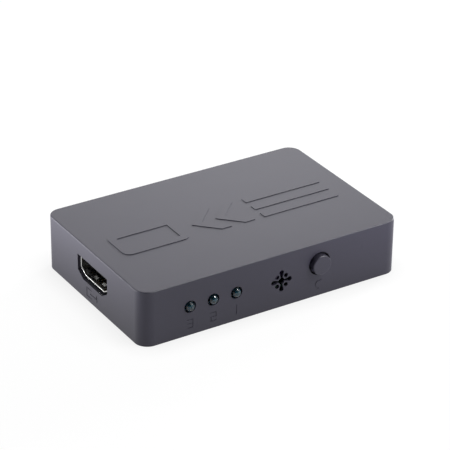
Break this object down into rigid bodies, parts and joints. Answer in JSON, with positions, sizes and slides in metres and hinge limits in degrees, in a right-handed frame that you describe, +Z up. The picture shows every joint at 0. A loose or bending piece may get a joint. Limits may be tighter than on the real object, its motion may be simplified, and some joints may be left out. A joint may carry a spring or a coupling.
{
  "type": "video switch box",
  "caption": "Small flat dark grey box that switches several video inputs to one output, with indicator lamps, a remote-control window and a push button on its front edge.",
  "frame": {"origin": "centre of the bottom face the box rests on", "axes": "+X along the length, to the right for someone facing the lamps and button; +Y from that front to the back; +Z up"},
  "size_m": [0.075, 0.0504, 0.0152],
  "materials": {
    "case_plastic": "fine moulded texture, dark grey with a slight violet cast",
    "button_plastic": "smooth moulded, same grey as the case",
    "screw_steel": "blackened steel",
    "board_laminate": "glass-fibre laminate with green solder mask",
    "nickel_plate": "nickel-plated stamped sheet",
    "socket_plastic": "black moulded nylon",
    "contact_gold": "gold-flashed bronze strip",
    "tinned_lead": "tinned wire and strip",
    "lamp_resin": "clear cast resin with a dark teal tint",
    "receiver_resin": "black infrared-clear resin",
    "switch_plastic": "black moulded nylon",
    "chip_resin": "black moulded epoxy",
    "chip_ceramic": "fired ceramic block",
    "can_aluminium": "drawn aluminium can"
  },
  "bodies": {
    "case": {"top_case": "case_plastic", "bottom_cover": "case_plastic", "case_screws": "screw_steel", "circuit_board": "board_laminate", "lamp_1": "lamp_resin", "lamp_2": "lamp_resin", "lamp_3": "lamp_resin", "lamp_leads": "tinned_lead", "remote_receiver": "receiver_resin", "remote_receiver_leads": "tinned_lead", "switch_dome": "nickel_plate", "switch_housing": "switch_plastic", "switch_frame": "nickel_plate", "switch_pins": "tinned_lead", "power_socket_body": "socket_plastic", "power_socket_pin": "nickel_plate", "power_socket_terminals": "tinned_lead", "switching_chip": "chip_resin", "switching_chip_legs": "tinned_lead", "control_chip": "chip_resin", "control_chip_legs": "tinned_lead", "voltage_regulator": "chip_resin", "voltage_regulator_legs": "tinned_lead", "capacitor_base": "socket_plastic", "capacitor_can": "can_aluminium", "chip_capacitors": "chip_ceramic", "chip_resistors": "chip_resin", "output_socket_shell": "nickel_plate", "output_socket_insulator": "socket_plastic", "output_socket_contacts": "contact_gold", "input_socket_1_shell": "nickel_plate", "input_socket_1_insulator": "socket_plastic", "input_socket_1_contacts": "contact_gold", "input_socket_2_shell": "nickel_plate", "input_socket_2_insulator": "socket_plastic", "input_socket_2_contacts": "contact_gold", "input_socket_3_shell": "nickel_plate", "input_socket_3_insulator": "socket_plastic", "input_socket_3_contacts": "contact_gold"},
    "button": {"select_button": "button_plastic"},
    "plunger": {"switch_plunger": "switch_plastic"}
  },
  "joints": [
    {"name": "button_press", "type": "slide", "parent": "case", "child": "button", "axis": [0, 1, 0], "range_m": [0, 0.0003], "stiffness_N_per_m": 2000, "springref_m": -0.0002, "deforming": ["switch_dome"]},
    {"name": "plunger_press", "type": "slide", "parent": "case", "child": "plunger", "axis": [0, 1, 0], "range_m": [0, 0.0003]}
  ],
  "couplings": [
    {"joint": "plunger_press", "follows": "button_press", "ratio": 1}
  ]
}
